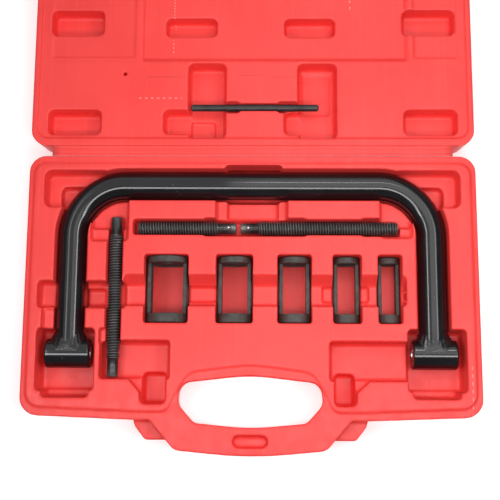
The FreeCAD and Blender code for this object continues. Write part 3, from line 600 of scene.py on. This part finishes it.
def boss(side):
    """Cross boss: painted outside, bare tapped bore and a bright ring round its mouth."""
    name = "left_boss" if side < 0 else "right_boss"
    middle = centre(name)
    half = (BOSS_HIGH.x - BOSS_LOW.x) / 2
    around = 64
    mouth = BORE_RADIUS + 1.2 * MM
    face_edge = BOSS_RADIUS - 2.4 * MM
    dish = 0.1 * MM
    chamfer = 0.9 * MM
    shares = [1, 0.995, 0.985, 0.97, 0.955, 0.94, 0.925, 0.908, 0.8, 0.6, 0.4, 0.2, 0]
    shoulder = [(half * share, boss_radius_at(share), 0) for share in shares]
    profile = [(-x, r, mark) for x, r, mark in shoulder] + list(reversed(shoulder[:-1]))
    profile.append((half, face_edge, 0))
    profile.append((half - dish, mouth, 1))
    bore_steps = 150
    points = []
    marks = []
    for x, r, mark in profile:
        marks.append(mark)
        for k in range(around):
            a = TURN * k / around
            points.append((middle.x + x, middle.y + r * math.cos(a), middle.z + r * math.sin(a)))
    for i in range(bore_steps + 1):
        x = half - chamfer - (2 * half - 2 * chamfer) * i / bore_steps
        marks.append(1)
        for k in range(around):
            a = TURN * k / around
            r = BORE_RADIUS + THREAD_DEPTH - thread_dip(x, k / around, THREAD_DEPTH)
            points.append((middle.x + x, middle.y + r * math.cos(a), middle.z + r * math.sin(a)))
    for x, r in ((-half + dish, mouth), (-half, face_edge)):
        marks.append(1)
        for k in range(around):
            a = TURN * k / around
            points.append((middle.x + x, middle.y + r * math.cos(a), middle.z + r * math.sin(a)))
    marks[-1] = 0
    rings = len(marks)
    faces = ring_faces(rings, around, True)
    indices = []
    for ring in range(rings):
        bare = marks[ring] and (marks[(ring + 1) % rings] or ring == rings - 2)
        indices += [1 if bare else 0] * around
    piece = new_piece(name + "_painted", points, faces, ["black_paint", "bright_steel"], indices)
    face_out(piece)
    dressed(piece, "c_frame", "black_paint", name)


def weld(side):
    """Flared, rippled bead that joins a leg to its boss along their saddle line."""
    name = "left_weld" if side < 0 else "right_weld"
    around = 144
    steps = 14
    top = BOSS_RADIUS - 0.12 * MM
    sunk = 0.5 * MM
    points = []
    for i in range(steps + 1):
        t = i / steps
        for k in range(around):
            a = TURN * k / around
            flare = WELD_FLARE * (1 - t) ** 1.8
            wobble = noise.noise(Vector((4 * math.cos(a), 4 * math.sin(a), 7.0 * side)))
            lump = math.sin(math.pi * t) * (0.34 * math.sin(22 * a + 3 * wobble) + 0.45 * wobble) * MM
            r = TUBE_RADIUS - 0.05 * MM + flare + max(lump, -0.3 * MM) * (1 - 0.5 * t)
            x = r * math.cos(a)
            z = max(-top, min(top, r * math.sin(a)))
            seat = math.sqrt(max(BOSS_RADIUS ** 2 - z * z, 0.0)) - sunk
            y = seat + (WELD_REACH + 0.5 * wobble * MM) * t
            points.append((side * LEG_X + x, BOSS_Y + y, TUBE_Z + z))
    inner = []
    for t in (1.0, 0.0):
        for k in range(around):
            a = TURN * k / around
            r = TUBE_RADIUS - 0.8 * MM
            z = r * math.sin(a)
            y = math.sqrt(BOSS_RADIUS ** 2 - z * z) - sunk + WELD_REACH * t
            inner.append((side * LEG_X + r * math.cos(a), BOSS_Y + y, TUBE_Z + z))
    piece = new_piece(name + "_bead", points + inner, ring_faces(steps + 3, around, True), ["weld_paint"])
    face_out(piece)
    dressed(piece, "c_frame", "black_paint", name)


# ---------------------------------------------------------------- spindles

def rod_point(origin, axis, along, radius, angle):
    """Point on a rod that runs along X or along Y."""
    across = radius * math.cos(angle)
    up = radius * math.sin(angle)
    if axis == "X":
        return origin.x + along, origin.y + across, origin.z + up
    return origin.x - across, origin.y + along, origin.z + up


def spindle(name, axis, plain_ends):
    """Threaded rod with plain spigots, sized from its CAD node; its callers drill the cross hole and ball
    seat.
    """
    low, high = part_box(name)
    middle = (low + high) / 2
    radius = (high.z - low.z) / 2
    length = high.x - low.x if axis == "X" else high.y - low.y
    origin = Vector((low.x, middle.y, middle.z)) if axis == "X" else Vector((middle.x, low.y, middle.z))
    bevel = 1.0 * MM
    spigot = [(0.0, SPIGOT_RADIUS - 0.7 * MM),
              (0.2 * MM, SPIGOT_RADIUS - 0.3 * MM),
              (0.6 * MM, SPIGOT_RADIUS),
              (SPIGOT_LENGTH * 0.5, SPIGOT_RADIUS),
              (SPIGOT_LENGTH - 0.15 * MM, SPIGOT_RADIUS)]
    start = SPIGOT_LENGTH if plain_ends[0] else 0.0
    stop = length - (SPIGOT_LENGTH if plain_ends[1] else 0.0)
    around = 44
    step = THREAD_PITCH / 9
    rows = int((stop - start) / step)
    stations = list(spigot) if plain_ends[0] else []
    stations += [(start + (stop - start) * i / rows, None) for i in range(rows + 1)]
    if plain_ends[1]:
        stations += [(length - along, r) for along, r in reversed(spigot)]
    points = []
    for along, fixed in stations:
        for k in range(around):
            r = fixed
            if fixed is None:
                shoulder = radius - bevel + min(along - start, stop - along, bevel)
                r = min(shoulder, radius - thread_dip(along, k / around, THREAD_DEPTH))
            points.append(rod_point(origin, axis, along, r, TURN * k / around))
    points, faces = capped(len(stations), np.array(points))
    piece = new_piece(name + "_turned", points, faces, ["oxide_x" if axis == "X" else "oxide_y"])
    face_out(piece)
    return piece, origin, length


def drill(piece, holes):
    """Cuts round holes, each (centre, direction, radius, length), through a piece."""
    around = 32
    cutters = []
    for index, (spot, direction, radius, length) in enumerate(holes):
        direction = Vector(direction)
        side = direction.orthogonal().normalized()
        other = direction.cross(side)
        rings = []
        for end in (-0.5, 0.5):
            for k in range(around):
                a = TURN * k / around
                outward = side * math.cos(a) + other * math.sin(a)
                rings.append(spot + direction * (length * end) + outward * radius)
        points, faces = capped(2, np.array(rings))
        cutter = new_piece("%s_drill_%d" % (piece.name, index), points, faces, [])
        face_out(cutter)
        cutters.append(cutter)
    for cutter in cutters:
        cutting = piece.modifiers.new("drill", "BOOLEAN")
        cutting.operation = "DIFFERENCE"
        cutting.solver = "MANIFOLD"
        cutting.object = cutter
        bake_modifiers(piece)
        bpy.data.objects.remove(cutter)
    piece.data.polygons.foreach_set("use_smooth", [True] * len(piece.data.polygons))
    even = piece.modifiers.new("even", "WEIGHTED_NORMAL")
    even.mode = "CORNER_ANGLE"
    bake_modifiers(piece)


def cross_spindle(prefix, ball_first):
    """One of the two short spindles that lie along X: cross hole at one end, ball spigot at the other."""
    name = prefix + "_spindle"
    piece, origin, length = spindle(name, "X", (ball_first, not ball_first))
    hole_at = length - CROSS_HOLE_INSET if ball_first else CROSS_HOLE_INSET
    ball = centre(prefix + "_detent_ball")
    seat_middle = 2.6 * MM
    seat_length = 9 * MM
    hole = origin + Vector((hole_at, 0, 0))
    seat = Vector((ball.x, ball.y, origin.z + seat_middle))
    drill(piece, [(hole, (0, 1, 0), CROSS_HOLE_RADIUS, CROSS_DRILL_LENGTH),
                  (seat, (0, 0, 1), BALL_SEAT_RADIUS, seat_length)])
    dressed(piece, name, "black_oxide", name)


def long_spindle():
    """The long spindle, plain at both ends, that lies along Y."""
    piece, origin, _ = spindle("long_spindle", "Y", (True, True))
    hole = origin + Vector((0, LONG_HOLE_INSET, 0))
    drill(piece, [(hole, (1, 0, 0), CROSS_HOLE_RADIUS, CROSS_DRILL_LENGTH)])
    dressed(piece, "long_spindle", "black_oxide", "long_spindle")


def detent_ball(prefix):
    """Bearing ball of a detent."""
    node = prefix + "_detent_ball"
    low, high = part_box(node)
    middle = (low + high) / 2
    radius = (high.z - low.z) / 2
    rings = 24
    around = 32
    points = []
    for i in range(1, rings):
        a = math.pi * i / rings
        for k in range(around):
            b = TURN * k / around
            points.append((middle.x + radius * math.sin(a) * math.cos(b),
                           middle.y + radius * math.sin(a) * math.sin(b), middle.z + radius * math.cos(a)))
    points, faces = capped(rings - 1, np.array(points))
    points[-2] = (middle.x, middle.y, middle.z + radius)
    points[-1] = (middle.x, middle.y, middle.z - radius)
    piece = new_piece(node + "_polished", points, faces, ["bright_steel"])
    face_out(piece)
    dressed(piece, prefix + "_ball", "bright_steel", node)


def detent_spring(prefix):
    """Coil spring under a detent ball."""
    node = prefix + "_detent_spring"
    low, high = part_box(node)
    wire = 0.16 * MM
    reach = (high.x - low.x) / 2 - wire
    turns = 3.5
    count = 90
    section = 8
    middle = (low + high) / 2
    points = []
    for i in range(count + 1):
        t = i / count
        a = TURN * turns * t
        z = low.z + wire + (high.z - low.z - 2 * wire) * t
        for j in range(section):
            b = TURN * j / section
            r = reach + wire * math.cos(b)
            points.append((middle.x + r * math.cos(a), middle.y + r * math.sin(a), z + wire * math.sin(b)))
    points, faces = capped(count + 1, np.array(points))
    piece = new_piece(node + "_coil", points, faces, ["bright_steel"])
    face_out(piece)
    dressed(piece, prefix + "_spindle", "bright_steel", node)
    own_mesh(piece)


# ---------------------------------------------------------------- cups and tommy bar

def spring_cup(node):
    """Windowed spring cup with broken edges."""
    piece = softened(node, "phosphate", CUP_VOXEL, 2, CUP_FACES)
    dressed(piece, node, "phosphate", node)


def tommy_bar():
    """Turning bar with domed ends."""
    low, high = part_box("tommy_bar")
    radius = (high.z - low.z) / 2
    origin = Vector((low.x, (low.y + high.y) / 2, (low.z + high.z) / 2))
    length = high.x - low.x
    around = 40
    dome = 1.7 * MM
    dome_steps = 6
    body_steps = 60
    cap = []
    for i in range(dome_steps + 1):
        a = math.pi / 2 * i / dome_steps
        cap.append((dome * (1 - math.cos(a)), radius - dome * (1 - math.sin(a))))
    body = [(dome + (length - 2 * dome) * i / body_steps, radius) for i in range(1, body_steps)]
    stations = cap + body + [(length - along, r) for along, r in reversed(cap)]
    points = []
    for along, r in stations:
        for k in range(around):
            points.append(rod_point(origin, "X", along, r, TURN * k / around))
    points, faces = capped(len(stations), np.array(points))
    piece = new_piece("tommy_bar_turned", points, faces, ["oxide_x"])
    face_out(piece)
    dressed(piece, "tommy_bar", "black_oxide", "tommy_bar")


# ---------------------------------------------------------------- studio

def floor():
    """Pale ground plane."""
    half = 6.0
    corners = [(-half, -half, 0), (half, -half, 0), (half, half, 0), (-half, half, 0)]
    ground = new_piece("studio_floor", corners, [(0, 1, 2, 3)], ["pale_floor"])


def soft_light(name, place, target, level_size, other_size, radiance, spread=180.0):
    """Rectangular area light that faces its target and isn't seen by the camera.

    Its level side is level_size long, and radiance is roughly what it sends straight ahead at any spread.
    """
    light = bpy.data.lights.new(name, "AREA")
    light.shape = "RECTANGLE"
    light.size = level_size
    light.size_y = other_size
    focus = 1.0 if spread == 180.0 else math.radians(spread / 2) ** 2 / 3
    light.energy = radiance * math.pi * level_size * other_size * focus
    light.spread = math.radians(spread)
    lamp = bpy.data.objects.new(name, light)
    lamp.location = place
    lamp.rotation_euler = (Vector(target) - Vector(place)).to_track_quat("-Z", "Y").to_euler()
    lamp.visible_camera = False
    bpy.context.scene.collection.objects.link(lamp)


def studio():
    """A low softbox, dimmer on the left, and bright rims for the lines on the tube and right boss."""
    panel_y = 0.39
    panel_depth = 1.02
    side_y = -0.06
    height = SOFTBOX_HEIGHT
    soft_light("left_panel", (-0.26, panel_y, height), (-0.26, panel_y, 0), 0.46, panel_depth, 0.6)
    soft_light("right_panel", (0.15, panel_y, height), (0.15, panel_y, 0), 0.36, panel_depth, 2.1, 140)
    soft_light("front_rim", (0.02, -0.215, height), (0.02, BAR_Y, TUBE_Z), 0.80, 0.085, 7.2)
    soft_light("right_rim", (0.315, side_y, height), (-LEG_X, side_y, TUBE_Z), 0.46, 0.08, 9.0, 70)
    soft_light("left_rim", (-0.27, side_y, height), (LEG_X, side_y, TUBE_Z), 0.46, 0.075, 8.5, 70)
    soft_light("back_rim", (0.13, 0.14, height), (LEG_X, BOSS_Y, TUBE_Z), 0.30, 0.03, 18.0, 40)
    world = bpy.data.worlds.new("studio")
    world.use_nodes = True
    background = world.node_tree.nodes["Background"]
    background.inputs["Color"].default_value = (0.93, 0.95, 1.0, 1)
    background.inputs["Strength"].default_value = 0.14
    bpy.context.scene.world = world


def camera():
    view = bpy.data.cameras.new("photo_view")
    view.sensor_width = 36
    view.lens = 67.39
    view.clip_start = 0.01
    eye = bpy.data.objects.new("photo_view", view)
    eye.location = (0.01172, -0.17950, 0.67616)
    eye.rotation_euler = Euler((math.radians(9.536), math.radians(1.053), math.radians(0.375)), "XYZ")
    bpy.context.scene.collection.objects.link(eye)
    bpy.context.scene.camera = eye
    bpy.context.scene.view_settings.view_transform = "Standard"


camera()
studio()
floor()
case_half("case_base", "case", "base_red", BASE_RINGS)
case_half("case_lid", "lid", "lid_red", LID_RINGS)
hinge_web()
frame_tube()
for side in (-1, 1):
    boss(side)
    weld(side)
cross_spindle("short", False)
cross_spindle("medium", True)
long_spindle()
for prefix in ("short", "medium"):
    detent_ball(prefix)
    detent_spring(prefix)
for cup in CUPS:
    spring_cup(cup)
tommy_bar()
